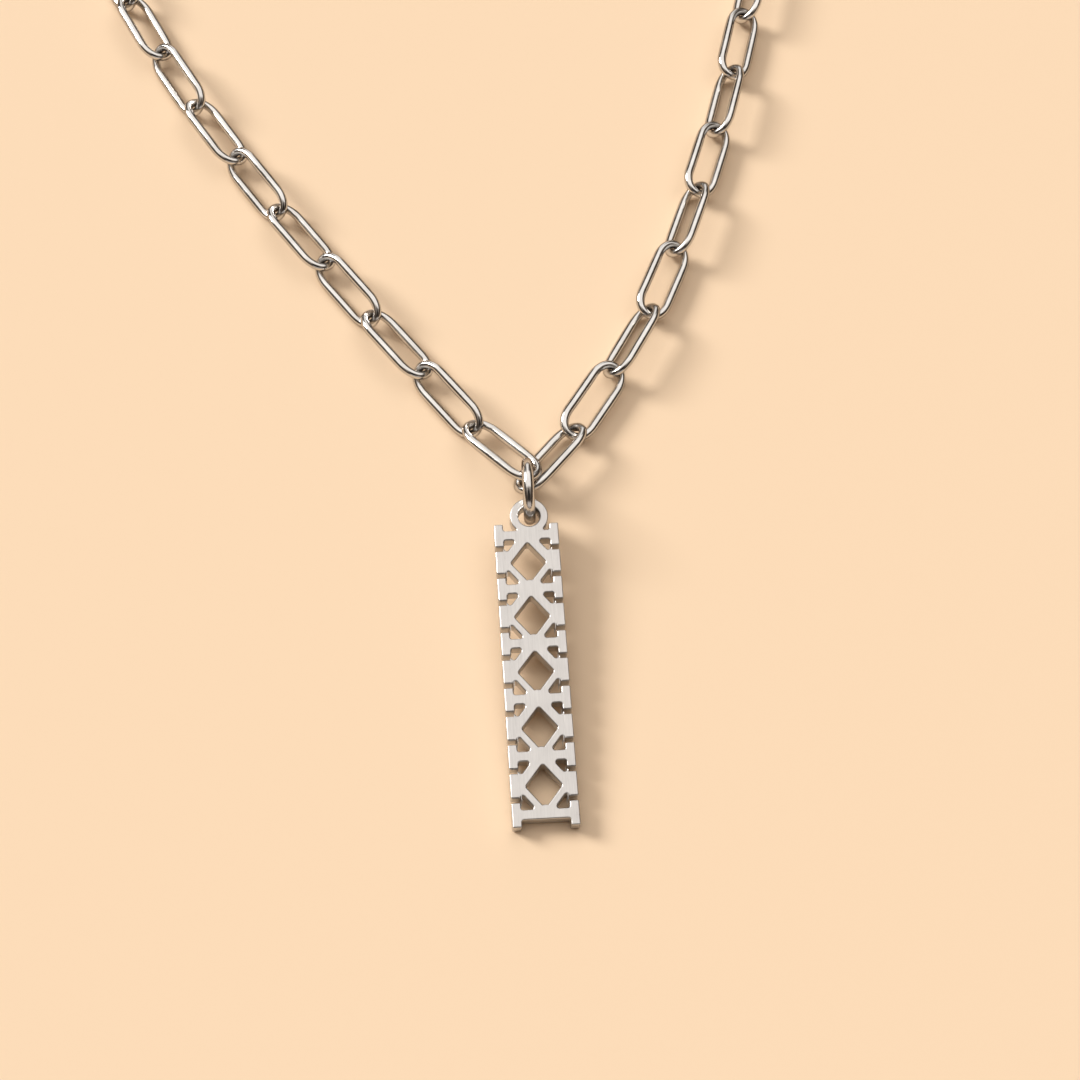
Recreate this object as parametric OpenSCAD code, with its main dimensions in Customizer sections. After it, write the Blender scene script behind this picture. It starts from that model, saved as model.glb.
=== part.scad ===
// Necklace lying flat: two arms of long oval links, a large jump ring, an openwork bar with an eye, and a clasp.
// Millimetres. The plane z = 0 is the surface it lies on, the origin is in the middle of the neck opening,
// y runs from the bar towards the clasp.

/* [Links] */
// outer length of a link
link_length = 10; // [9.9:0.05:10.2]
// outer width of a link
link_width = 3.8; // [3.7:0.05:3.9]
// thickness of the link wire
link_wire = 0.8; // [0.76:0.01:0.82]
// free play where two links hook together
play = 0.15; // [0.12:0.01:0.18]
// lean of every second link
lean_small = 30; // [28:1:32]
// lean of the links between them, which rest on the surface
lean_large = 42; // [40:1:43]
// links of each arm after its end link
arm_links = 25; // [24:1:26]
// half the width of the neck opening
neck_half = 47; // [46:0.5:49]

/* [Large jump ring] */
// outer diameter
ring_outer = 6.5; // [6.45:0.05:6.6]
// wire thickness
ring_wire = 1.1; // [1:0.05:1.1]

/* [Bar] */
// width across the feet
bar_width = 6.2; // [6:0.1:6.6]
// length from the upper feet to the lower feet
bar_length = 29.7; // [29:0.1:30.5]
// thickness of the plate
bar_thick = 1.5; // [1.4:0.05:1.55]
// number of lozenges
lozenges = 5; // [4:1:5]
// thickness of the cross bars and the upper lozenge sides
stroke_thick = 0.96; // [0.86:0.02:1.06]
// thickness of the lower lozenge sides
stroke_thin = 0.7; // [0.64:0.02:0.8]
// width of a foot
foot_width = 0.88; // [0.8:0.02:0.96]
// gap between two feet
foot_gap = 0.42; // [0.36:0.02:0.5]
// diameter of the round boss where two lozenges meet
boss = 1.8; // [1.6:0.05:2]
// radius in the window corners
window_round = 0.22; // [0.18:0.01:0.26]

/* [Eye of the bar] */
// outer diameter
eye_outer = 3.4; // [3.3:0.05:3.5]
// hole diameter
eye_hole = 2.1; // [2.08:0.01:2.2]
// distance from the eye's centre to the middle of the first cross bar
eye_drop = 1.95; // [1.85:0.05:2]
// distance of the eye's centre beside the middle of the bar
eye_side = 0.35; // [0:0.05:0.4]
// height of the eye's centre above the surface
eye_height = 3.05; // [3:0.01:3.1]

/* [Clasp] */
// outer diameter of the small ring between the left arm and the clasp
small_ring_outer = 4.2; // [4.1:0.05:4.5]
// wire thickness of the small ring
small_ring_wire = 0.7; // [0.6:0.05:0.75]
// outer diameter of the ring at the end of the right arm
end_ring_outer = 4.6; // [4.5:0.05:4.9]
// wire thickness of the end ring
end_ring_wire = 0.7; // [0.6:0.05:0.75]
// outer length of the clasp's loop
clasp_length = 8.6; // [8:0.1:9.4]
// outer width of the clasp's loop
clasp_width = 5.2; // [5.1:0.1:5.6]
// wire thickness of the clasp's loop
clasp_wire = 1.2; // [1.1:0.05:1.25]
// outer diameter of the clasp's own eye
clasp_eye_outer = 4; // [4:0.05:4.3]
// wire thickness of that eye
clasp_eye_wire = 0.9; // [0.8:0.05:0.95]
// depth to which that eye is let into the loop
clasp_joined = 0.5; // [0.4:0.05:0.6]
// diameter of the clasp's knob
knob = 1.9; // [1.7:0.1:2.2]
// free play at the clasp and its two rings
clasp_play = 0.3; // [0.25:0.01:0.35]

/* [Hidden] */
$fn = 32;
steel = [0.78, 0.77, 0.75];
face_steel = [0.84, 0.82, 0.79];

bar_eye = [5, -100.1, eye_height];
ring_centre = [5.15, -97.2, ring_outer / 2];
// end links: the point that the large ring holds, the direction from there along the arm, the lean
left_hook = [5.4, -95.11, 3.27];
right_hook = [4.71, -95.93, 1.59];
left_way = 129;
right_way = 49;
left_lean = 28;
right_lean = 37;
// points that each arm passes on its way to the half oval at the back
left_points = [[-10, -74.5], [-19.4, -60.7], [-27.7, -47], [-34.7, -33], [-42, -14], [-46, 9]];
right_points = [[18.8, -76.6], [25.7, -61.1], [31.2, -45.3], [39, -18], [44.6, 7]];
oval_depth = 52;
// rise of the clasp over the line between the two arm ends
crest = 0.4;

link_bend = (link_width - link_wire) / 2;
link_step = link_length - 2 * link_wire - play;
rest = link_bend * sin(lean_large) + link_wire / 2;
small_step = small_ring_outer - 2 * small_ring_wire - clasp_play;
end_step = end_ring_outer - 2 * end_ring_wire - clasp_play;
clasp_step = clasp_length + clasp_eye_outer - clasp_joined - clasp_eye_wire - clasp_wire - clasp_play;
clasp_span = sqrt(small_step ^ 2 - crest ^ 2) + clasp_step + sqrt(end_step ^ 2 - crest ^ 2);

function way(a) = [cos(a), sin(a)];
function flat(p) = [p.x, p.y];
function lift(p) = [p.x, p.y, rest];
function start(hook, a) = flat(hook) + sqrt(link_step ^ 2 - (hook.z - rest) ^ 2) * way(a);
// lean at which a loop lies on the surface with its middle at the common height
function lying(wire, width) = asin((rest - wire / 2) / ((width - wire) / 2));

// way of one arm: its points, then the half oval round the point [0, c], as a smooth row of close points
function knots(first, points, side, c) = concat(
    [first], points,
    [for (a = [0 : 22 : 198]) [side * neck_half * cos(a), c + oval_depth * sin(a)]]
);
function smooth(a, b, c, d, t) =
    0.5 * (2 * b + (c - a) * t + (2 * a - 5 * b + 4 * c - d) * t ^ 2 + (3 * b - a - 3 * c + d) * t ^ 3);
function route(p) = [
    for (i = [0 : len(p) - 2]) for (k = [0 : 19])
        smooth(p[max(i - 1, 0)], p[i], p[i + 1], p[min(i + 2, len(p) - 1)], k / 20)
];
// joints one step apart along the way
function beyond(s, k, p) = norm(s[k] - p) < link_step ? beyond(s, k + 1, p) : k;
function meet(q, d, e) = q + d * (sqrt((d * e) ^ 2 - (d * d) * (e * e - link_step ^ 2)) - d * e) / (d * d);
function joints(s, n, p, k = 1) = n == 0 ? [p] :
    let (m = beyond(s, k, p), q = s[m - 1])
    concat([p], joints(s, n - 1, meet(q, s[m] - q, q - p), m));

left_start = start(left_hook, left_way);
right_start = start(right_hook, right_way);
function left_joints(c) = joints(route(knots(left_start, left_points, -1, c)), arm_links, left_start);
function right_joints(c) = joints(route(knots(right_start, right_points, 1, c)), arm_links, right_start);

// the half oval moves along y until the clasp and its rings just fill the space between the arm ends
function opening(c) =
    let (d = right_joints(c)[arm_links] - left_joints(c)[arm_links])
    sign(d.x) * norm(d);
function settle(low, high, n) = n == 0 ? (low + high) / 2 :
    let (c = (low + high) / 2)
    opening(c) < clasp_span ? settle(c, high, n - 1) : settle(low, c, n - 1);
oval_y = settle(0, 70, 26);
left_way_points = left_joints(oval_y);
right_way_points = right_joints(oval_y);
left_end = left_way_points[arm_links];
right_end = right_way_points[arm_links];
across = (right_end - left_end) / norm(right_end - left_end);
clasp_left = left_end + across * sqrt(small_step ^ 2 - crest ^ 2) + [-across.y, across.x] * crest;
clasp_right = clasp_left + across * clasp_step;
// which side is high at the arm ends
last_side = arm_links % 2 == 1 ? 1 : -1;

// tilt of the bar between its eye and its lower end on the surface
foot_length = (bar_length - 2 * lozenges * foot_gap) / (2 * lozenges + 1);
bar_reach = bar_length - foot_length / 2 + eye_drop;
bar_tilt = asin(eye_height / norm([bar_reach, bar_thick / 2])) - atan2(bar_thick / 2, bar_reach);
// from foot to foot along the bar, and the lozenge's half width and half side
row = foot_length + foot_gap;
inner = bar_width / 2 - foot_width;
slant = norm([row, inner]);

// oval wire loop, long along x
module oval(length, width, wire) {
    bend = (width - wire) / 2;
    straight = (length - wire) / 2 - bend;
    for (a = [0, 180]) rotate([0, 0, a]) {
        translate([straight, 0, 0]) rotate([0, 0, -90])
            rotate_extrude(angle = 180) translate([bend, 0]) circle(d = wire);
        translate([-straight, bend, 0]) rotate([0, 90, 0]) cylinder(d = wire, h = 2 * straight);
    }
}

module round_ring(outer, wire) {
    rotate_extrude() translate([(outer - wire) / 2, 0]) circle(d = wire);
}

// puts a piece between two joints; side 1 has its right side high, seen from p to q
module hang(p, q, lean, side) {
    d = q - p;
    translate((p + q) / 2) rotate([-side * lean, -asin(d.z / norm(d)), atan2(d.y, d.x)]) children();
}

module arm(hook, hook_lean, points, side, leans) {
    hang(hook, lift(points[0]), hook_lean, -side) oval(link_length, link_width, link_wire);
    for (i = [0 : arm_links - 1])
        hang(lift(points[i]), lift(points[i + 1]), leans[i % 2], i % 2 == 0 ? side : -side)
            oval(link_length, link_width, link_wire);
}

module chain_left() color(steel) arm(left_hook, left_lean, left_way_points, 1, [lean_large, lean_small]);

module chain_right() color(steel) arm(right_hook, right_lean, right_way_points, -1, [lean_small, lean_large]);

module jump_ring() color(steel) translate(ring_centre) rotate([0, 90, 0]) round_ring(ring_outer, ring_wire);

// a side of a window is [inward direction, distance]; the corners between the sides are round
function corner(a, b) =
    [a[1] * b[0].y - b[1] * a[0].y, a[0].x * b[1] - b[0].x * a[1]] / (a[0].x * b[0].y - a[0].y * b[0].x);
function inward(s) = [s[0], s[1] + window_round];
module window(sides) {
    n = len(sides);
    mids = [for (i = [0 : n - 1]) corner(inward(sides[i]), inward(sides[(i + 1) % n]))];
    polygon([for (i = [0 : n - 1]) each [
        mids[i] - window_round * sides[i][0],
        mids[i] - window_round * sides[(i + 1) % n][0]
    ]]);
    for (m = mids) translate(m) circle(window_round);
}

// windows of one lozenge, round its middle
module lozenge_windows() {
    depth = row * inner / slant;
    up = stroke_thick / 2 - depth;
    down = stroke_thin / 2 - depth;
    window([
        [[-row, -inner] / slant, up], [[row, -inner] / slant, up],
        [[row, inner] / slant, down], [[-row, inner] / slant, down]
    ]);
    for (x = [-1, 1]) {
        window([
            [[x * row, inner] / slant, depth + stroke_thick / 2],
            [[0, -1], stroke_thick / 2 - row],
            [[-x, 0], -inner]
        ]);
        window([
            [[x * row, -inner] / slant, depth + stroke_thin / 2],
            [[0, 1], stroke_thick / 2 - row],
            [[-x, 0], -inner]
        ]);
    }
}

// notch between the feet at an end of the bar
module end_notch(y) {
    window([[[0, y], stroke_thick / 2], [[1, 0], -inner], [[0, -y], -foot_length], [[-1, 0], -inner]]);
}

module bar_outline() {
    difference() {
        translate([-bar_width / 2, foot_length / 2 - bar_length]) square([bar_width, bar_length]);
        for (k = [0 : lozenges - 1]) translate([0, -(2 * k + 1) * row]) lozenge_windows();
        end_notch(1);
        translate([0, -2 * lozenges * row]) end_notch(-1);
        for (k = [0 : 2 * lozenges - 1]) for (x = [-1, 1])
            translate([x * bar_width / 2, -(k + 0.5) * row]) square([2 * foot_width + 0.1, foot_gap], center = true);
    }
    for (k = [1 : lozenges]) translate([0, -2 * k * row]) circle(d = boss);
}

module nameplate() color(face_steel) translate(bar_eye) rotate([bar_tilt, 0, 0])
    translate([0, 0, -bar_thick / 2]) linear_extrude(bar_thick) difference() {
        union() {
            translate([-eye_side, -eye_drop]) bar_outline();
            circle(d = eye_outer);
        }
        circle(d = eye_hole);
    }

module small_ring() color(steel)
    hang(lift(left_end), lift(clasp_left), lying(small_ring_wire, small_ring_outer), -last_side)
        round_ring(small_ring_outer, small_ring_wire);

module end_ring() color(steel)
    hang(lift(clasp_right), lift(right_end), lying(end_ring_wire, end_ring_outer), -last_side)
        round_ring(end_ring_outer, end_ring_wire);

module clasp() color(steel) hang(lift(clasp_left), lift(clasp_right), lying(clasp_wire, clasp_width), last_side) {
    left = -(clasp_step + clasp_play) / 2 - clasp_eye_wire;
    right = (clasp_step + clasp_play) / 2 + clasp_wire;
    translate([left + clasp_eye_outer / 2, 0, 0]) round_ring(clasp_eye_outer, clasp_eye_wire);
    translate([right - clasp_length / 2, 0, 0]) {
        oval(clasp_length, clasp_width, clasp_wire);
        translate([0, -last_side * (clasp_width - clasp_wire / 2) / 2, 0]) sphere(d = knob);
    }
}

chain_left();
chain_right();
jump_ring();
nameplate();
small_ring();
clasp();
end_ring();
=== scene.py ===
# Necklace lying flat: two chain arms, a large ring, an openwork bar, a small ring, a clasp and an end ring.
# Every piece is drawn in millimetres and brought to metres when it is put in its place.
import math
import bmesh
import bpy
from mathutils import Matrix, Vector


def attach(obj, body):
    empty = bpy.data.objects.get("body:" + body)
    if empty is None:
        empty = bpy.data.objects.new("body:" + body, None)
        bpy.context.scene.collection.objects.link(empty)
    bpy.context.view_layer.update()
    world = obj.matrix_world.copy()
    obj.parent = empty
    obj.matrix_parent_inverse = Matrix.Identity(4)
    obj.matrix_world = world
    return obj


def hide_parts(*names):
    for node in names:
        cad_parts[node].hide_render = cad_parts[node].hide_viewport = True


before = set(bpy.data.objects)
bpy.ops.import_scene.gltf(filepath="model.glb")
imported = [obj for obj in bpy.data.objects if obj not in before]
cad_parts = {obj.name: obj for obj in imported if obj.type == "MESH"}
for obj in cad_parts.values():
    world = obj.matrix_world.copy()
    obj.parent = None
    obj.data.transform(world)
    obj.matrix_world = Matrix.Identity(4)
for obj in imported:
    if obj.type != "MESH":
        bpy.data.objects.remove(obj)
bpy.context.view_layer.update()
mm = 0.001
seamGap = 0.0005
print("frame loaded:", sorted(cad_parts))


# selecting, placing and finishing

def clearSelection():
    if bpy.context.object and bpy.context.object.mode != "OBJECT":
        bpy.ops.object.mode_set(mode="OBJECT")
    bpy.ops.object.select_all(action="DESELECT")


def pick(piece):
    clearSelection()
    piece.select_set(True)
    bpy.context.view_layer.objects.active = piece


def chooseEdges(piece, test):
    # in edit mode: selects the edges that pass the test
    bpy.ops.mesh.select_mode(type="EDGE")
    bpy.ops.mesh.select_all(action="DESELECT")
    shape = bmesh.from_edit_mesh(piece.data)
    for edge in shape.edges:
        if test(edge):
            edge.select_set(True)
    bmesh.update_edit_mesh(piece.data)


def place(piece, matrix):
    # matrix is in millimetres; the piece's object ends at the origin, with its place in its mesh
    pick(piece)
    piece.matrix_world = Matrix.Scale(mm, 4) @ matrix
    bpy.ops.object.transform_apply(location=True, rotation=True, scale=True)


def copyPiece(piece, name):
    twin = piece.copy()
    twin.data = piece.data.copy()
    twin.name = name
    bpy.context.scene.collection.objects.link(twin)
    return twin


def joinPieces(pieces, name):
    clearSelection()
    for piece in pieces:
        piece.select_set(True)
    bpy.context.view_layer.objects.active = pieces[0]
    bpy.ops.object.join()
    pieces[0].name = name
    return pieces[0]


def curveToMesh(piece):
    # a drawn curve as a closed mesh, its seams merged and its faces outwards
    pick(piece)
    bpy.ops.object.convert(target="MESH")
    piece = bpy.context.active_object
    bpy.ops.object.mode_set(mode="EDIT")
    bpy.ops.mesh.select_all(action="SELECT")
    bpy.ops.mesh.remove_doubles(threshold=seamGap)
    bpy.ops.mesh.normals_make_consistent(inside=False)
    bpy.ops.object.mode_set(mode="OBJECT")
    return piece


def useModifier(piece, kind, **settings):
    pick(piece)
    modifier = piece.modifiers.new(kind.title(), kind)
    for key, value in settings.items():
        setattr(modifier, key, value)
    bpy.ops.object.modifier_apply(modifier=modifier.name)


def dress(piece, node, slot, *materials):
    piece.data.materials.clear()
    for material in materials:
        piece.data.materials.append(material)
    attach(piece, "root")
    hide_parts(node)


# finishes

def newMaterial(name, **values):
    material = bpy.data.materials.new(name)
    material.use_nodes = True
    shader = material.node_tree.nodes["Principled BSDF"]
    for key, value in values.items():
        shader.inputs[key.replace("_", " ")].default_value = value
    return material, material.node_tree.nodes, material.node_tree.links, shader


def addNoise(nodes, links, source, stretch, scale, detail=3.0, roughness=0.55):
    # a noise on coordinates stretched by the three numbers
    mapping = nodes.new("ShaderNodeMapping")
    mapping.inputs["Scale"].default_value = stretch
    noise = nodes.new("ShaderNodeTexNoise")
    noise.inputs["Scale"].default_value = scale
    noise.inputs["Detail"].default_value = detail
    noise.inputs["Roughness"].default_value = roughness
    links.new(source, mapping.inputs["Vector"])
    links.new(mapping.outputs["Vector"], noise.inputs["Vector"])
    return noise.outputs["Fac"]


def addRange(nodes, links, source, low, high, fromLow=0.3, fromHigh=0.7):
    spread = nodes.new("ShaderNodeMapRange")
    spread.inputs["From Min"].default_value = fromLow
    spread.inputs["From Max"].default_value = fromHigh
    spread.inputs["To Min"].default_value = low
    spread.inputs["To Max"].default_value = high
    links.new(source, spread.inputs["Value"])
    return spread.outputs["Result"]


def addMath(nodes, links, operation, first, second):
    step = nodes.new("ShaderNodeMath")
    step.operation = operation
    for socket, value in zip(step.inputs, (first, second)):
        if isinstance(value, (int, float)):
            socket.default_value = value
        else:
            links.new(value, socket)
    return step.outputs["Value"]


def addTint(nodes, links, source, stops):
    ramp = nodes.new("ShaderNodeValToRGB")
    elements = ramp.color_ramp.elements
    while len(elements) < len(stops):
        elements.new(0.5)
    for element, (position, colour) in zip(elements, stops):
        element.position = position
        element.color = (*colour, 1.0)
    links.new(source, ramp.inputs["Fac"])
    return ramp.outputs["Color"]


def addBump(nodes, links, shader, layers):
    # layers are (height output, depth in metres, strength), from the coarsest to the finest
    last = None
    for height, depth, strength in layers:
        bump = nodes.new("ShaderNodeBump")
        bump.inputs["Distance"].default_value = depth
        bump.inputs["Strength"].default_value = strength
        links.new(height, bump.inputs["Height"])
        if last:
            links.new(last, bump.inputs["Normal"])
        last = bump.outputs["Normal"]
    links.new(last, shader.inputs["Normal"])


def addBlend(nodes, links, share, under, over):
    # the colour over lies on the output under, as far as the share goes
    blend = nodes.new("ShaderNodeMix")
    blend.data_type = "RGBA"
    links.new(share, blend.inputs[0])
    links.new(under, blend.inputs[6])
    blend.inputs[7].default_value = (*over, 1.0)
    return blend.outputs[2]


# in the finishes a noise is (stretch, scale, detail, roughness), a tint is a row of (noise, colour),
# a bump is (depth in metres, strength), and a range is (low, high), with the noise's own two ends after them
even = (1.0, 1.0, 1.0)
wireFinish = {
    "tint": [(0.32, (0.60, 0.585, 0.565)), (0.68, (0.72, 0.705, 0.685))],
    # a tint at grazing angles far darker than steel's own: painted shade along the wire's outlines
    "edge": (0.30, 0.25, 0.22, 1.0),
    "cloud": (even, 420.0),
    "cloudBump": (0.00004, 0.12),
    "speck": (even, 5200.0, 4.0, 0.65),
    "speckBump": (0.000003, 0.15),
    "lines": ((6.0, 90.0, 1.0), 1.0, 3.0, 0.7),
    "lineBump": (0.000004, 0.3),
    "rough": (0.10, 0.20),
    "streak": (0.0, 0.07, 0.45, 0.75),
    # dark colour laid on where parts touch: painted shade between the parts
    "contactShade": (0.10, 0.075, 0.055),
    "contactShadeDepth": (0.55, 1.25),
    "rubDull": 0.3,
}


def polishedWire():
    # polished steel wire: drawing lines along the wire, a slight waviness, and where links rub a duller
    # polish with a dark painted shade mixed into the colour
    look = wireFinish
    material, nodes, links, shader = newMaterial("polishedSteel", Metallic=1.0, Specular_Tint=look["edge"])
    spot = nodes.new("ShaderNodeTexCoord").outputs["Object"]
    along = nodes.new("ShaderNodeUVMap")
    along.uv_map = "wire"
    rubAndShade = nodes.new("ShaderNodeAttribute")
    rubAndShade.attribute_name = "rubAndShade"
    cloud = addNoise(nodes, links, spot, *look["cloud"])
    speck = addNoise(nodes, links, spot, *look["speck"])
    lines = addNoise(nodes, links, along.outputs["UV"], *look["lines"])
    colour = addTint(nodes, links, cloud, look["tint"])
    depth = addRange(nodes, links, speck, *look["contactShadeDepth"])
    # the touching places darkened, mottled by the speck noise: painted shade between the parts
    contactShade = addMath(nodes, links, "MULTIPLY", rubAndShade.outputs["Fac"], depth)
    links.new(addBlend(nodes, links, contactShade, colour, look["contactShade"]), shader.inputs["Base Color"])
    polish = addRange(nodes, links, cloud, *look["rough"])
    streak = addRange(nodes, links, lines, *look["streak"])
    rough = addMath(nodes, links, "ADD", polish, streak)
    dull = addMath(nodes, links, "MULTIPLY", contactShade, look["rubDull"])
    links.new(addMath(nodes, links, "ADD", rough, dull), shader.inputs["Roughness"])
    layers = [(cloud, *look["cloudBump"]), (lines, *look["lineBump"]), (speck, *look["speckBump"])]
    addBump(nodes, links, shader, layers)
    return material


faceFinish = {
    "tint": [(0.35, (0.50, 0.485, 0.470)), (0.65, (0.625, 0.607, 0.588))],
    "brush": ((9000.0, 260.0, 2000.0), 1.0, 4.0, 0.7),
    "brushShare": 0.6,
    "brushBump": (0.000003, 0.3),
    "cloud": (even, 380.0),
    "cloudBump": (0.00002, 0.2),
    "speck": (even, 7000.0, 2.0, 0.6),
    "speckBump": (0.000002, 0.25),
    "rough": (0.26, 0.40),
}


def satinFace():
    # fine satin brushing along the bar
    look = faceFinish
    material, nodes, links, shader = newMaterial("satinFace", Metallic=1.0)
    spot = nodes.new("ShaderNodeTexCoord").outputs["Object"]
    brush = addNoise(nodes, links, spot, *look["brush"])
    cloud = addNoise(nodes, links, spot, *look["cloud"])
    speck = addNoise(nodes, links, spot, *look["speck"])
    brushed = addMath(nodes, links, "MULTIPLY", brush, look["brushShare"])
    clouded = addMath(nodes, links, "MULTIPLY", cloud, 1 - look["brushShare"])
    mixed = addMath(nodes, links, "ADD", brushed, clouded)
    links.new(addTint(nodes, links, mixed, look["tint"]), shader.inputs["Base Color"])
    links.new(addRange(nodes, links, mixed, *look["rough"]), shader.inputs["Roughness"])
    layers = [(cloud, *look["cloudBump"]), (brush, *look["brushBump"]), (speck, *look["speckBump"])]
    addBump(nodes, links, shader, layers)
    return material


rimHighlightFinish = {
    # brighter than the face's steel: painted highlight on the rims
    "tint": [(0.3, (0.88, 0.865, 0.845)), (0.7, (0.97, 0.955, 0.935))],
    "cloud": (even, 900.0),
    "cloudBump": (0.00002, 0.25),
    "nick": (even, 6000.0, 3.0, 0.7),
    "nickBump": (0.000004, 0.35),
    "rough": (0.36, 0.50),
}


def polishedRimHighlight():
    # the edges, rounded and polished by tumbling, with small nicks; their steel brighter than the face's, a
    # painted highlight along the edges
    look = rimHighlightFinish
    material, nodes, links, shader = newMaterial("polishedRimHighlight", Metallic=1.0)
    spot = nodes.new("ShaderNodeTexCoord").outputs["Object"]
    cloud = addNoise(nodes, links, spot, *look["cloud"])
    nick = addNoise(nodes, links, spot, *look["nick"])
    links.new(addTint(nodes, links, cloud, look["tint"]), shader.inputs["Base Color"])
    links.new(addRange(nodes, links, nick, *look["rough"]), shader.inputs["Roughness"])
    addBump(nodes, links, shader, [(cloud, *look["cloudBump"]), (nick, *look["nickBump"])])
    return material


wallShadeFinish = {
    # darker than the face's steel: painted shade on the walls
    "tint": [(0.35, (0.36, 0.335, 0.315)), (0.65, (0.50, 0.475, 0.45))],
    "lines": ((7000.0, 7000.0, 350.0), 1.0, 3.0, 0.65),
    "lineBump": (0.000005, 0.35),
    "cloud": (even, 700.0),
    "cloudBump": (0.00002, 0.2),
    "rough": (0.26, 0.44),
}


def cutWallShade():
    # the cut edge of the plate, with fine lines across its thickness; its steel darker than the face's, a
    # painted shade on the upright walls
    look = wallShadeFinish
    material, nodes, links, shader = newMaterial("cutWallShade", Metallic=1.0)
    spot = nodes.new("ShaderNodeTexCoord").outputs["Object"]
    lines = addNoise(nodes, links, spot, *look["lines"])
    cloud = addNoise(nodes, links, spot, *look["cloud"])
    links.new(addTint(nodes, links, lines, look["tint"]), shader.inputs["Base Color"])
    links.new(addRange(nodes, links, lines, *look["rough"]), shader.inputs["Roughness"])
    addBump(nodes, links, shader, [(cloud, *look["cloudBump"]), (lines, *look["lineBump"])])
    return material


castFinish = {
    "tint": wireFinish["tint"],
    # the same dark grazing tint: painted shade along the clasp's outlines
    "edge": wireFinish["edge"],
    "cloud": wireFinish["cloud"],
    "cloudBump": (0.00006, 0.3),
    "speck": wireFinish["speck"],
    "speckBump": (0.000004, 0.25),
    "rough": (0.12, 0.24),
}


def castSteel():
    # polished cast steel, for the clasp
    look = castFinish
    material, nodes, links, shader = newMaterial("castSteel", Metallic=1.0, Specular_Tint=look["edge"])
    spot = nodes.new("ShaderNodeTexCoord").outputs["Object"]
    cloud = addNoise(nodes, links, spot, *look["cloud"])
    speck = addNoise(nodes, links, spot, *look["speck"])
    links.new(addTint(nodes, links, cloud, look["tint"]), shader.inputs["Base Color"])
    links.new(addRange(nodes, links, speck, *look["rough"]), shader.inputs["Roughness"])
    addBump(nodes, links, shader, [(cloud, *look["cloudBump"]), (speck, *look["speckBump"])])
    return material


wireSteel = polishedWire()
faceSteel = satinFace()
rimHighlightSteel = polishedRimHighlight()
wallShadeSteel = cutWallShade()
claspSteel = castSteel()
print("finishes made")


# the way of the chain, as in the part's source

chain = {
    "length": 10.0,
    "width": 3.8,
    "wire": 0.8,
    "play": 0.15,
    "lean": 42.0,
    "leftLeans": (47.0, 23.0),
    "rightLeans": (21.0, 46.0),
    "raised": 0.12,
    "leftEnd": (Vector((5.542, -95.100, 3.095)), Vector((0.282, -88.928, 1.575)), 19.0),
    "rightEnd": (Vector((4.921, -95.819, 1.682)), Vector((10.497, -89.739, 1.622)), 36.0),
    "links": 25,
    "neckHalf": 47.0,
    "ovalDepth": 52.0,
    "ovalStep": 22,
    "ovalEnd": 198,
    "ovalRange": (0.0, 70.0),
    "halvings": 26,
    "closeness": 20,
    "crest": 0.4,
    "leftHook": Vector((5.4, -95.11, 3.27)),
    "rightHook": Vector((4.71, -95.93, 1.59)),
    "leftWay": 129.0,
    "rightWay": 49.0,
    "leftPoints": [(-10, -74.5), (-19.4, -60.7), (-27.7, -47), (-34.7, -33), (-42, -14), (-46, 9)],
    "rightPoints": [(18.8, -76.6), (25.7, -61.1), (31.2, -45.3), (39, -18), (44.6, 7)],
}
backEnd = {
    "smallOuter": 4.2,
    "smallWire": 0.7,
    "smallRub": 1.4,
    "endOuter": 4.6,
    "endWire": 0.7,
    "endRub": 1.6,
    "rubReach": 0.8,
    "claspLength": 8.6,
    "claspWidth": 5.2,
    "claspWire": 1.2,
    "eyeOuter": 4.0,
    "eyeWire": 0.9,
    "joined": 0.5,
    "knob": 1.9,
    "play": 0.3,
    "ringSteps": 16,
    "ringRounds": 8,
    "claspSteps": 18,
    "eyeRounds": 10,
    "claspRounds": 12,
    "voxel": 0.075,
    "smoothing": 6,
}
linkStep = chain["length"] - 2 * chain["wire"] - chain["play"]
linkBend = (chain["width"] - chain["wire"]) / 2
restHeight = linkBend * math.sin(math.radians(chain["lean"])) + chain["wire"] / 2
smallStep = backEnd["smallOuter"] - 2 * backEnd["smallWire"] - backEnd["play"]
endStep = backEnd["endOuter"] - 2 * backEnd["endWire"] - backEnd["play"]
claspStep = (backEnd["claspLength"] + backEnd["eyeOuter"] - backEnd["joined"] - backEnd["eyeWire"]
             - backEnd["claspWire"] - backEnd["play"])
smallReach = math.sqrt(smallStep ** 2 - chain["crest"] ** 2)
endReach = math.sqrt(endStep ** 2 - chain["crest"] ** 2)
claspSpan = smallReach + claspStep + endReach


def wayFrom(hook, degrees):
    reach = math.sqrt(linkStep ** 2 - (hook.z - restHeight) ** 2)
    angle = math.radians(degrees)
    return Vector((hook.x + reach * math.cos(angle), hook.y + reach * math.sin(angle)))


def closePoints(first, points, side, middle):
    # the arm's points, then the half oval round the point (0, middle), as a smooth row of close points
    knots = [first] + [Vector(point) for point in points]
    for degrees in range(0, chain["ovalEnd"] + 1, chain["ovalStep"]):
        angle = math.radians(degrees)
        x = side * chain["neckHalf"] * math.cos(angle)
        y = middle + chain["ovalDepth"] * math.sin(angle)
        knots.append(Vector((x, y)))
    row = []
    for i in range(len(knots) - 1):
        a = knots[max(i - 1, 0)]
        b = knots[i]
        c = knots[i + 1]
        d = knots[min(i + 2, len(knots) - 1)]
        for k in range(chain["closeness"]):
            t = k / chain["closeness"]
            row.append(0.5 * (2 * b + (c - a) * t + (2 * a - 5 * b + 4 * c - d) * t ** 2
                              + (3 * b - a - 3 * c + d) * t ** 3))
    return row


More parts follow.
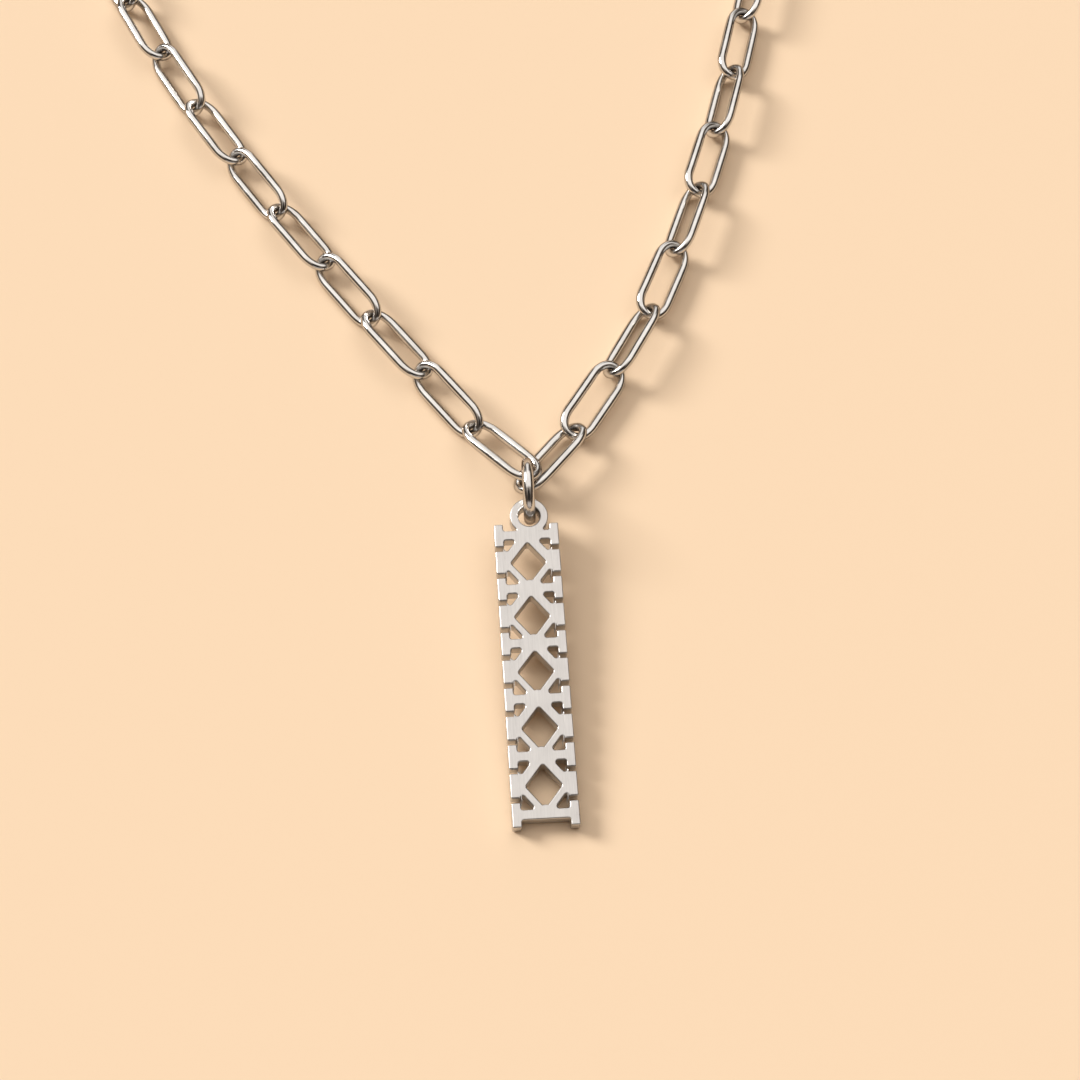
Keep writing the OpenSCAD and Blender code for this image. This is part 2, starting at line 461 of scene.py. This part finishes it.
def walkJoints(row, count, point):
    # joints one link step apart along the row
    found = [point]
    k = 1
    for _ in range(count):
        while (row[k] - point).length < linkStep:
            k += 1
        start = row[k - 1]
        ahead = row[k] - start
        back = start - point
        dot = ahead.dot(back)
        square = ahead.dot(ahead)
        reach = math.sqrt(dot ** 2 - square * (back.dot(back) - linkStep ** 2)) - dot
        point = start + ahead * reach / square
        found.append(point)
    return found


leftStart = wayFrom(chain["leftHook"], chain["leftWay"])
rightStart = wayFrom(chain["rightHook"], chain["rightWay"])


def armJoints(middle):
    left = walkJoints(closePoints(leftStart, chain["leftPoints"], -1, middle), chain["links"], leftStart)
    right = walkJoints(closePoints(rightStart, chain["rightPoints"], 1, middle), chain["links"], rightStart)
    return left, right


# the oval's middle goes up or down until the clasp just fits between the two arms
ovalLow, ovalHigh = chain["ovalRange"]
for _ in range(chain["halvings"]):
    ovalMiddle = (ovalLow + ovalHigh) / 2
    leftJoints, rightJoints = armJoints(ovalMiddle)
    gap = rightJoints[-1] - leftJoints[-1]
    if math.copysign(gap.length, gap.x) < claspSpan:
        ovalLow = ovalMiddle
    else:
        ovalHigh = ovalMiddle
leftJoints, rightJoints = armJoints((ovalLow + ovalHigh) / 2)
across = (rightJoints[-1] - leftJoints[-1]).normalized()
claspLeft = leftJoints[-1] + across * smallReach + Vector((-across.y, across.x)) * chain["crest"]
claspRight = claspLeft + across * claspStep
lastSide = 1 if chain["links"] % 2 == 1 else -1


def lift(point):
    return Vector((point.x, point.y, restHeight + chain["raised"]))


def hang(start, end, lean, side):
    # the place of a piece between two joints; side 1 has its right side high, seen from start to end
    way = end - start
    return (Matrix.Translation((start + end) / 2)
            @ Matrix.Rotation(math.atan2(way.y, way.x), 4, "Z")
            @ Matrix.Rotation(-math.asin(way.z / way.length), 4, "Y")
            @ Matrix.Rotation(math.radians(-side * lean), 4, "X"))


def lyingLean(wire, width):
    return math.degrees(math.asin((restHeight - wire / 2) / ((width - wire) / 2)))


# wire pieces

roundArm = 0.5523  # handle of a quarter circle of radius 1
middleSteps = 32


def drawWire(name, knots, wire, steps, rounds):
    # a closed curve through the knots, each (point, arm of its handles), given the wire's thickness
    clearSelection()
    bpy.ops.curve.primitive_bezier_circle_add(radius=1.0, location=(0, 0, 0))
    piece = bpy.context.active_object
    piece.name = name
    drawing = piece.data
    drawing.resolution_u = steps
    drawing.render_resolution_u = 0
    spline = drawing.splines[0]
    spline.bezier_points.add(len(knots) - len(spline.bezier_points))
    for target, (point, back, ahead) in zip(spline.bezier_points, knots):
        target.handle_left_type = "FREE"
        target.handle_right_type = "FREE"
        target.co = point
        target.handle_left = Vector(point) + Vector(back)
        target.handle_right = Vector(point) + Vector(ahead)
    drawing.bevel_depth = wire / 2
    drawing.bevel_resolution = rounds
    return curveToMesh(piece)


def middleLine(knots):
    # close points of the wire's middle line, with the distance along it
    line = []
    for i, (point, _, ahead) in enumerate(knots):
        nextPoint, nextBack, _ = knots[(i + 1) % len(knots)]
        a = Vector(point)
        b = a + Vector(ahead)
        d = Vector(nextPoint)
        c = d + Vector(nextBack)
        for k in range(middleSteps):
            t = k / middleSteps
            line.append(a * (1 - t) ** 3 + 3 * b * t * (1 - t) ** 2 + 3 * c * t ** 2 * (1 - t) + d * t ** 3)
    distance = [0.0]
    for start, end in zip(line, line[1:] + line[:1]):
        distance.append(distance[-1] + (end - start).length)
    return line, distance


def ringKnots(radius):
    reach = roundArm * radius
    return [
        ((-radius, 0, 0), (0, -reach, 0), (0, reach, 0)),
        ((0, radius, 0), (-reach, 0, 0), (reach, 0, 0)),
        ((radius, 0, 0), (0, reach, 0), (0, -reach, 0)),
        ((0, -radius, 0), (reach, 0, 0), (-reach, 0, 0)),
    ]


def ovalKnots(halfLength, halfWidth, endLength, fullness):
    # two tips and four shoulders; fullness roundArm gives half ellipses, more makes the ends squarer
    side = halfLength - endLength
    sweep = fullness * endLength
    rise = fullness * halfWidth
    straight = 2 * side / 3
    return [
        ((-halfLength, 0, 0), (0, -rise, 0), (0, rise, 0)),
        ((-side, halfWidth, 0), (-sweep, 0, 0), (straight, 0, 0)),
        ((side, halfWidth, 0), (-straight, 0, 0), (sweep, 0, 0)),
        ((halfLength, 0, 0), (0, rise, 0), (0, -rise, 0)),
        ((side, -halfWidth, 0), (sweep, 0, 0), (-straight, 0, 0)),
        ((-side, -halfWidth, 0), (straight, 0, 0), (-sweep, 0, 0)),
    ]


def wireSpot(point, line, distance, wire):
    # the nearest point of the middle line, the distance along the wire and the turn round it
    i = min(range(len(line)), key=lambda k: (line[k] - point).length_squared)
    ahead = (line[(i + 1) % len(line)] - line[i - 1]).normalized()
    step = (point - line[i]).dot(ahead)
    middle = line[i] + ahead * step
    off = point - middle
    outward = Vector((ahead.y, -ahead.x, 0))
    return middle, distance[i] + step, math.atan2(off.z, -off.dot(outward)) * wire / 2


def finishWire(piece, knots, wire, rubs=(), seam=None):
    # a UV map along the wire, the places where parts rub (a mask for painted shade between the parts and a
    # duller polish), and the swelling of the soldered seam
    line, distance = middleLine(knots)
    mesh = piece.data
    whole = (distance[-1], math.pi * wire)
    spots = [wireSpot(vert.co, line, distance, wire) for vert in mesh.vertices]
    while mesh.uv_layers:
        mesh.uv_layers.remove(mesh.uv_layers[0])
    layer = mesh.uv_layers.new(name="wire")
    for face in mesh.polygons:
        base = wireSpot(face.center, line, distance, wire)
        for loop in face.loop_indices:
            spot = spots[mesh.loops[loop].vertex_index]
            layer.data[loop].uv = [
                spot[k + 1] - whole[k] * round((spot[k + 1] - base[k + 1]) / whole[k]) for k in (0, 1)
            ]
    # where parts touch: the mask for painted shade and duller polish
    rubShadeMask = mesh.attributes.new("rubAndShade", "FLOAT", "POINT")
    for vert, (middle, _, _) in zip(mesh.vertices, spots):
        spot = vert.co.copy()
        near = [1.0 - (spot - Vector(centre)).length / reach for centre, reach in rubs]
        rubShadeMask.data[vert.index].value = max([0.0] + near)
        if seam:
            away = (middle - Vector(seam["place"])).length / seam["reach"]
            swell = seam["swell"] * math.exp(-away ** 2)
            outward = (spot - middle).normalized()
            lopsided = 0.5 + 0.5 * outward.dot(Vector(seam["way"]).normalized())
            vert.co = spot + outward * swell * lopsided
    pick(piece)
    bpy.ops.object.shade_smooth()
    return piece


linkLook = {
    "wire": 0.84,
    "endLength": 2.2,
    "fullness": 0.60,
    "steps": 14,
    "rounds": 7,
    "sideSwell": 0.065,
    "sideFrom": 4.3,
    "sideTo": 1.0,
    "swell": 0.06,
    "swellReach": 1.1,
    "swellAt": (3.1, 1.42),
    "swellWay": (0.45, 1.0, 0.3),
    "rubReach": 0.85,
}
linkTip = (chain["length"] - chain["wire"]) / 2
linkKnots = ovalKnots(linkTip, linkBend, linkLook["endLength"], linkLook["fullness"])


def makeLink(name, beadEnd):
    # beadEnd: the end whose left corner shows the solder bead, or 0 where it is turned away
    link = drawWire(name, linkKnots, linkLook["wire"], linkLook["steps"], linkLook["rounds"])
    tips = [((end * (linkTip - linkLook["wire"] / 2), 0, 0), linkLook["rubReach"]) for end in (1, -1)]
    seam = None
    if beadEnd:
        seam = {
            "place": (beadEnd * linkLook["swellAt"][0], linkLook["swellAt"][1], 0),
            "way": (beadEnd * linkLook["swellWay"][0], *linkLook["swellWay"][1:]),
            "swell": linkLook["swell"],
            "reach": linkLook["swellReach"],
        }
    line, distance = middleLine(linkKnots)
    for vert in link.data.vertices:
        reach = (linkLook["sideFrom"] - abs(vert.co.x)) / (linkLook["sideFrom"] - linkLook["sideTo"])
        reach = min(max(reach, 0.0), 1.0)
        fuller = linkLook["sideSwell"] * reach * reach * (3 - 2 * reach)
        middle = wireSpot(vert.co, line, distance, linkLook["wire"])[0] if fuller > 0 else vert.co
        vert.co += (vert.co - middle).normalized() * fuller
    return finishWire(link, linkKnots, linkLook["wire"], tips, seam)


plainLink = makeLink("plainLink", 0)
beadLinks = {end: makeLink("beadLink", end) for end in (1, -1)}


def makeArm(name, endPlace, joints, side, leans, beadEnd, beadRow):
    # endPlace is (joint in the large ring, joint in the next link, lean) of the end link
    links = [copyPiece(plainLink, name + "End")]
    place(links[0], hang(*endPlace, -side))
    for i in range(chain["links"]):
        pattern = beadLinks[beadEnd] if i % 2 == beadRow else plainLink
        link = copyPiece(pattern, name + "Link")
        highSide = side if i % 2 == 0 else -side
        place(link, hang(lift(joints[i]), lift(joints[i + 1]), leans[i % 2], highSide))
        links.append(link)
    return joinPieces(links, name)


leftArm = makeArm("leftArm", chain["leftEnd"], leftJoints, 1, chain["leftLeans"], 1, 1)
rightArm = makeArm("rightArm", chain["rightEnd"], rightJoints, -1, chain["rightLeans"], -1, 0)
for pattern in (plainLink, *beadLinks.values()):
    bpy.data.objects.remove(pattern)
dress(leftArm, "chain_left", "polished_steel", wireSteel)
dress(rightArm, "chain_right", "polished_steel", wireSteel)
print("chain arms made")


def makeRing(name, outer, wire, steps, rounds, rubs):
    knots = ringKnots((outer - wire) / 2)
    return finishWire(drawWire(name, knots, wire, steps, rounds), knots, wire, rubs)


jumpRing = {
    "outer": 6.54,
    "wire": 1.14,
    "middle": (5.171, -97.24, 3.304),
    "turn": -1.4,
    "tip": 86.6,
    "steps": 24,
    "rounds": 11,
    "linkRub": ((0, 1.6, -0.4), 1.1),
    "eyeRubSide": 0.3,
    "eyeRubReach": 0.7,
}
ringInside = jumpRing["outer"] / 2 - jumpRing["wire"]
ringRubs = [jumpRing["linkRub"], ((jumpRing["eyeRubSide"], -ringInside, 0), jumpRing["eyeRubReach"])]
largeRing = makeRing("largeRing", jumpRing["outer"], jumpRing["wire"], jumpRing["steps"], jumpRing["rounds"],
                     ringRubs)
ringTurn = Matrix.Rotation(math.radians(jumpRing["turn"]), 4, "Z")
ringTip = Matrix.Rotation(math.radians(jumpRing["tip"]), 4, "Y")
place(largeRing, Matrix.Translation(jumpRing["middle"]) @ ringTurn @ ringTip)
dress(largeRing, "jump_ring", "polished_steel", wireSteel)
print("large ring made")

# openwork bar, drawn flat with its eye's middle at the origin

bar = {
    "width": 6.2,
    "length": 29.7,
    "thick": 1.5,
    "lozenges": 5,
    "strokeThick": 0.96,
    "strokeThin": 0.7,
    "footWidth": 0.88,
    "footGap": 0.42,
    "boss": 1.8,
    "windowRound": 0.22,
    "cornerRound": 0.14,
    "cornerStep": 11.0,
    "bossRound": 0.05,
    "bossSteps": 6,
    "eyeOuter": 3.7,
    "eyeHole": 2.1,
    "eyeDrop": 1.95,
    "eyeSide": 0.35,
    "eyeHeight": 3.05,
    "eyeAt": (5.0, -100.1),
    "eyeSteps": 64,
    "holeSteps": 72,
    "solderRound": 0.12,
    "solderSteps": 8,
    "rim": 0.13,
    "rimSteps": 3,
    "flat": 0.999,
    "upright": 0.08,
    "sharp": 30.0,
}
footLength = (bar["length"] - 2 * bar["lozenges"] * bar["footGap"]) / (2 * bar["lozenges"] + 1)
rowStep = footLength + bar["footGap"]
inner = bar["width"] / 2 - bar["footWidth"]
slant = math.hypot(rowStep, inner)
half = bar["width"] / 2
upHalf = bar["strokeThick"] / 2
downHalf = bar["strokeThin"] / 2


def roundCorners(corners):
    # corners are (x, y, radius); returns the closed outline with its corners rounded
    outline = []
    for i, (x, y, radius) in enumerate(corners):
        corner = Vector((x, y))
        back = (Vector(corners[i - 1][:2]) - corner).normalized()
        ahead = (Vector(corners[(i + 1) % len(corners)][:2]) - corner).normalized()
        if radius == 0:
            outline.append(corner)
            continue
        halfAngle = back.angle(ahead) / 2
        reach = radius / math.tan(halfAngle)
        middle = corner + (back + ahead).normalized() * radius / math.sin(halfAngle)
        first = corner + back * reach - middle
        last = corner + ahead * reach - middle
        turn = first.angle_signed(last)
        steps = max(4, round(abs(turn) / math.radians(bar["cornerStep"])))
        for k in range(steps + 1):
            angle = -turn * k / steps
            outline.append(middle + Matrix.Rotation(angle, 2) @ first)
    return outline


def barOutline():
    # right side from the top to the bottom, then its mirror image back up to where the eye joins on
    inside = bar["windowRound"]
    outside = bar["cornerRound"]
    footHalf = footLength / 2
    right = []
    for k in range(2 * bar["lozenges"] + 1):
        y = -k * rowStep
        if k % 2 == 0:
            above = [(inner, y + upHalf, inside)]
            below = [(inner, y - upHalf, inside)]
            if k > 0:
                above.insert(0, ((slant * downHalf + inner * upHalf) / rowStep, y + upHalf, inside))
            if k < 2 * bar["lozenges"]:
                below.append((upHalf * (slant + inner) / rowStep, y - upHalf, inside))
        else:
            above = [(inner, y + slant * upHalf / inner, inside)]
            below = [(inner, y - slant * downHalf / inner, inside)]
        foot = [(inner, y + footHalf, outside), (half, y + footHalf, outside),
                (half, y - footHalf, outside), (inner, y - footHalf, outside)]
        right += above + foot + below
    left = [(-x, y, radius) for x, y, radius in reversed(right)]
    return roundCorners(right + left)


def eyeOutline(outline):
    # the eye's ring runs into the top bar with small solder fillets
    fillet = bar["solderRound"]
    eye = Vector((bar["eyeSide"], bar["eyeDrop"]))
    radius = bar["eyeOuter"] / 2
    reach = math.sqrt((radius + fillet) ** 2 - (upHalf + fillet - eye.y) ** 2)
    ring = []
    for side in (-1, 1):
        middle = Vector((eye.x + side * reach, upHalf + fillet))
        touch = (eye - middle).normalized() * fillet
        down = Vector((0, -fillet))
        turn = down.angle_signed(touch)
        turns = [-turn * k / bar["solderSteps"] for k in range(bar["solderSteps"] + 1)]
        arc = [middle + Matrix.Rotation(angle, 2) @ down for angle in turns]
        ring.append(arc if side < 0 else arc[::-1])
    first = ring[0][-1] - eye
    last = ring[1][0] - eye
    start = math.atan2(first.y, first.x)
    end = math.atan2(last.y, last.x)
    if start < end:
        start += 2 * math.pi
    angles = [start + (end - start) * k / bar["eyeSteps"] for k in range(1, bar["eyeSteps"])]
    over = [eye + Vector((math.cos(angle), math.sin(angle))) * radius for angle in angles]
    return outline + ring[0] + over + ring[1]


def lozengeHole(middle):
    bossHalf = bar["boss"] / 2
    depth = rowStep * inner / slant
    rightX = slant * (2 * depth - upHalf - downHalf) / (2 * rowStep)
    rightY = slant * (downHalf - upHalf) / (2 * inner)
    along = math.sqrt(bossHalf ** 2 - downHalf ** 2)
    bossX = (along * inner - downHalf * rowStep) / slant
    bossY = -rowStep + (along * rowStep + downHalf * inner) / slant
    wide = bar["windowRound"]
    tight = bar["bossRound"]
    corners = [(0, rowStep - upHalf * slant / inner, wide), (rightX, rightY, wide), (bossX, bossY, tight)]
    start = math.atan2(bossY + rowStep, bossX)
    for k in range(1, bar["bossSteps"]):
        angle = start + (math.pi - 2 * start) * k / bar["bossSteps"]
        corners.append((bossHalf * math.cos(angle), -rowStep + bossHalf * math.sin(angle), 0))
    corners += [(-bossX, bossY, tight), (-rightX, rightY, wide)]
    return [point + Vector((0, middle)) for point in roundCorners(corners)]


def addOutline(curve, points, shift):
    spline = curve.splines.new("POLY")
    spline.points.add(len(points) - 1)
    for target, point in zip(spline.points, points):
        target.co = (point.x + shift[0], point.y + shift[1], 0, 1)
    spline.use_cyclic_u = True


def makeBar():
    curve = bpy.data.curves.new("barDrawing", "CURVE")
    curve.dimensions = "2D"
    curve.fill_mode = "BOTH"
    curve.extrude = bar["thick"] / 2 - bar["rim"]
    curve.bevel_depth = bar["rim"]
    curve.bevel_resolution = bar["rimSteps"]
    curve.offset = -bar["rim"]
    shift = (-bar["eyeSide"], -bar["eyeDrop"])
    addOutline(curve, eyeOutline(barOutline()), shift)
    angles = [2 * math.pi * k / bar["holeSteps"] for k in range(bar["holeSteps"])]
    hole = [Vector((math.cos(angle), math.sin(angle))) * bar["eyeHole"] / 2 for angle in angles]
    addOutline(curve, hole, (0, 0))
    for k in range(bar["lozenges"]):
        addOutline(curve, lozengeHole(-(2 * k + 1) * rowStep), shift)
    piece = bpy.data.objects.new("openworkBar", curve)
    bpy.context.scene.collection.objects.link(piece)
    return curveToMesh(piece)


openworkBar = makeBar()
# the bar's steel split by the direction of its faces: flat top faces, upright walls in a darker colour
# (painted shade), and sloped rims between them in a brighter colour (painted highlight)
for face in openworkBar.data.polygons:
    level = abs(face.normal.z)
    face.material_index = 0 if level > bar["flat"] else 2 if level < bar["upright"] else 1
bpy.ops.object.shade_smooth()
bpy.ops.object.mode_set(mode="EDIT")
chooseEdges(openworkBar, lambda edge: len({face.material_index for face in edge.link_faces}) > 1
            or edge.calc_face_angle(0) > math.radians(bar["sharp"]))
bpy.ops.mesh.mark_sharp()
bpy.ops.object.mode_set(mode="OBJECT")
reachDown = bar["length"] - footLength / 2 + bar["eyeDrop"]
tilt = (math.asin(bar["eyeHeight"] / math.hypot(reachDown, bar["thick"] / 2))
        - math.atan2(bar["thick"] / 2, reachDown))
place(openworkBar, Matrix.Translation((*bar["eyeAt"], bar["eyeHeight"])) @ Matrix.Rotation(tilt, 4, "X"))
dress(openworkBar, "nameplate", "satin_steel", faceSteel, rimHighlightSteel, wallShadeSteel)
print("bar made")

# clasp with its two rings

def makeEndRing(name, outer, wire, rubSide, start, end):
    # a ring that lies leaning between two joints
    rubs = [((side * rubSide, 0, 0), backEnd["rubReach"]) for side in (1, -1)]
    ring = makeRing(name, outer, wire, backEnd["ringSteps"], backEnd["ringRounds"], rubs)
    place(ring, hang(lift(start), lift(end), lyingLean(wire, outer), -lastSide))
    return ring


smallRing = makeEndRing("smallRing", backEnd["smallOuter"], backEnd["smallWire"], backEnd["smallRub"],
                        leftJoints[-1], claspLeft)
dress(smallRing, "small_ring", "polished_steel", wireSteel)
endRing = makeEndRing("endRing", backEnd["endOuter"], backEnd["endWire"], backEnd["endRub"],
                      claspRight, rightJoints[-1])
dress(endRing, "end_ring", "polished_steel", wireSteel)


def makeClasp():
    left = -(claspStep + backEnd["play"]) / 2 - backEnd["eyeWire"]
    right = (claspStep + backEnd["play"]) / 2 + backEnd["claspWire"]
    eyeKnots = ringKnots((backEnd["eyeOuter"] - backEnd["eyeWire"]) / 2)
    eye = drawWire("claspEye", eyeKnots, backEnd["eyeWire"], backEnd["claspSteps"], backEnd["eyeRounds"])
    eye.location.x = left + backEnd["eyeOuter"] / 2
    loopHalf = (backEnd["claspLength"] - backEnd["claspWire"]) / 2
    loopBend = (backEnd["claspWidth"] - backEnd["claspWire"]) / 2
    loopKnots = ovalKnots(loopHalf, loopBend, loopBend, roundArm)
    loop = drawWire("claspLoop", loopKnots, backEnd["claspWire"], backEnd["claspSteps"],
                    backEnd["claspRounds"])
    loop.location.x = right - backEnd["claspLength"] / 2
    clearSelection()
    knobY = -lastSide * (backEnd["claspWidth"] - backEnd["claspWire"] / 2) / 2
    bpy.ops.mesh.primitive_uv_sphere_add(segments=32, ring_count=20, radius=backEnd["knob"] / 2,
                                         location=(loop.location.x, knobY, 0))
    knob = bpy.context.active_object
    body = joinPieces([loop, eye, knob], "claspBody")
    pick(body)
    bpy.ops.object.transform_apply(location=True, rotation=True, scale=True)
    useModifier(body, "REMESH", mode="VOXEL", voxel_size=backEnd["voxel"])
    useModifier(body, "SMOOTH", factor=0.5, iterations=backEnd["smoothing"])
    pick(body)
    bpy.ops.object.shade_smooth()
    return body


claspBody = makeClasp()
claspLean = lyingLean(backEnd["claspWire"], backEnd["claspWidth"])
place(claspBody, hang(lift(claspLeft), lift(claspRight), claspLean, lastSide))
dress(claspBody, "clasp", "polished_steel", claspSteel)
print("clasp made")

# floor, light and camera

floorLook = {
    "size": 40.0,
    "height": -0.00006,
    "colour": (0.87, 0.665, 0.465, 1.0),
    "rough": 0.9,
    "sheen": 0.2,
}
clearSelection()
bpy.ops.mesh.primitive_plane_add(size=floorLook["size"], location=(0, 0, floorLook["height"]))
floor = bpy.context.active_object
floor.name = "floor"
floorPaint, _, _, _ = newMaterial("palePaper", Base_Color=floorLook["colour"], Roughness=floorLook["rough"],
                               Specular_IOR_Level=floorLook["sheen"])
floor.data.materials.append(floorPaint)

# low sun-like key from the upper left; it looks from its place towards the origin
key = {
    "from": (-0.80, 0.44, 0.53),
    "strength": 3.1,
    "spread": 22.0,
    "colour": (1.0, 0.98, 0.95),
}
lamp = bpy.data.lights.new("key", "SUN")
lamp.energy = key["strength"]
lamp.angle = math.radians(key["spread"])
lamp.color = key["colour"]
light = bpy.data.objects.new("key", lamp)
bpy.context.scene.collection.objects.link(light)
light.rotation_euler = (-Vector(key["from"])).to_track_quat("-Z", "Y").to_euler()

# a soft room by direction: a wide softbox above, a window low to the north, a pale wall low to the south,
# brown in between and a dim patch south of the zenith; the softbox's sides and the window's side are slopes,
# all other ranges are shares of the direction's length
room = {
    "strength": 1.35,
    "sky": [(0.50, (0.050, 0.037, 0.028)), (0.64, (0.10, 0.078, 0.062)), (0.82, (0.34, 0.295, 0.255))],
    "dim": {"colour": (0.014, 0.011, 0.009), "towards": (0.0, -0.616, 0.788), "edge": (0.89, 0.955)},
    "wall": {"colour": (0.50, 0.445, 0.41), "side": (0.78, 0.86), "foot": (0.05, 0.11), "top": (0.46, 0.38)},
    "window": {"colour": (0.85, 0.82, 0.79), "north": (0.1, 0.3), "side": (0.34, 0.24), "foot": (0.06, 0.14),
               "top": (0.75, 0.70)},
    "softbox": {"colour": (1.0, 0.955, 0.915), "side": (1.05, 0.95), "south": (-0.26, -0.12),
                "north": (1.2, 1.1), "foot": (0.3, 0.4)},
}
world = bpy.data.worlds.new("room")
world.use_nodes = True
roomNodes = world.node_tree.nodes
roomLinks = world.node_tree.links


def between(source, *stops):
    # soft steps: each is (from, to), rising where from is less than to and falling otherwise
    masks = []
    for start, end in stops:
        mask = roomNodes.new("ShaderNodeMapRange")
        mask.interpolation_type = "SMOOTHSTEP"
        low, high = (start, end) if start < end else (end, start)
        mask.inputs["From Min"].default_value = low
        mask.inputs["From Max"].default_value = high
        mask.inputs["To Min"].default_value = 0.0 if start < end else 1.0
        mask.inputs["To Max"].default_value = 1.0 if start < end else 0.0
        roomLinks.new(source, mask.inputs["Value"])
        masks.append(mask.outputs["Result"])
    return masks


def paint(colour, patch, masks):
    # the patch's colour over the colour where all the masks are on
    whole = masks[0]
    for mask in masks[1:]:
        whole = addMath(roomNodes, roomLinks, "MULTIPLY", whole, mask)
    return addBlend(roomNodes, roomLinks, whole, colour, patch["colour"])


direction = roomNodes.new("ShaderNodeTexCoord").outputs["Generated"]
split = roomNodes.new("ShaderNodeSeparateXYZ")
roomLinks.new(direction, split.inputs["Vector"])
eastward, northward, upward = split.outputs
sideways = addMath(roomNodes, roomLinks, "ABSOLUTE", eastward, 0.0)
sideSlope = addMath(roomNodes, roomLinks, "DIVIDE", sideways, upward)
northSlope = addMath(roomNodes, roomLinks, "DIVIDE", northward, upward)
southward = addMath(roomNodes, roomLinks, "MULTIPLY", northward, -1.0)
aslant = addMath(roomNodes, roomLinks, "DIVIDE", sideways, northward)
dim = room["dim"]
nearDim = roomNodes.new("ShaderNodeVectorMath")
nearDim.operation = "DOT_PRODUCT"
nearDim.inputs[1].default_value = dim["towards"]
roomLinks.new(direction, nearDim.inputs[0])
wall = room["wall"]
window = room["window"]
softbox = room["softbox"]
sky = addTint(roomNodes, roomLinks, upward, room["sky"])
sky = paint(sky, dim, between(nearDim.outputs["Value"], dim["edge"]))
sky = paint(sky, wall, between(southward, wall["side"]) + between(upward, wall["foot"], wall["top"]))
sky = paint(sky, window, between(northward, window["north"]) + between(aslant, window["side"])
            + between(upward, window["foot"], window["top"]))
sky = paint(sky, softbox, between(sideSlope, softbox["side"])
            + between(northSlope, softbox["south"], softbox["north"]) + between(upward, softbox["foot"]))
background = roomNodes["Background"]
background.inputs["Strength"].default_value = room["strength"]
roomLinks.new(sky, background.inputs["Color"])
bpy.context.scene.world = world
bpy.context.scene.view_settings.view_transform = "Standard"

view = {
    "tilt": 26.63,
    "aside": 8.89,
    "roll": -4.48,
    "distance": 195.374985,
    "target": (6.1674462, -100.9282154, 0.0),
    "sensor": 36.0,
    "lens": 66.66667,
    "nearest": 0.01,
    "farthest": 10.0,
}
tiltAngle = math.radians(view["tilt"])
asideAngle = math.radians(view["aside"])
rollAngle = math.radians(view["roll"])
toCamera = Vector((-math.sin(tiltAngle) * math.sin(asideAngle), -math.sin(tiltAngle) * math.cos(asideAngle),
                   math.cos(tiltAngle)))
levelUp = (Vector((0, 1, 0)) - toCamera * toCamera.y).normalized()
levelRight = levelUp.cross(toCamera)
viewRight = math.cos(rollAngle) * levelRight + math.sin(rollAngle) * levelUp
viewUp = math.cos(rollAngle) * levelUp - math.sin(rollAngle) * levelRight
cameraData = bpy.data.cameras.new("camera")
cameraData.sensor_width = view["sensor"]
cameraData.lens = view["lens"]
cameraData.clip_start = view["nearest"]
cameraData.clip_end = view["farthest"]
camera = bpy.data.objects.new("camera", cameraData)
bpy.context.scene.collection.objects.link(camera)
turned = Matrix((viewRight, viewUp, toCamera)).transposed().to_4x4()
camera.matrix_world = Matrix.Translation((Vector(view["target"]) + toCamera * view["distance"]) * mm) @ turned
bpy.context.scene.camera = camera
print("stage made")
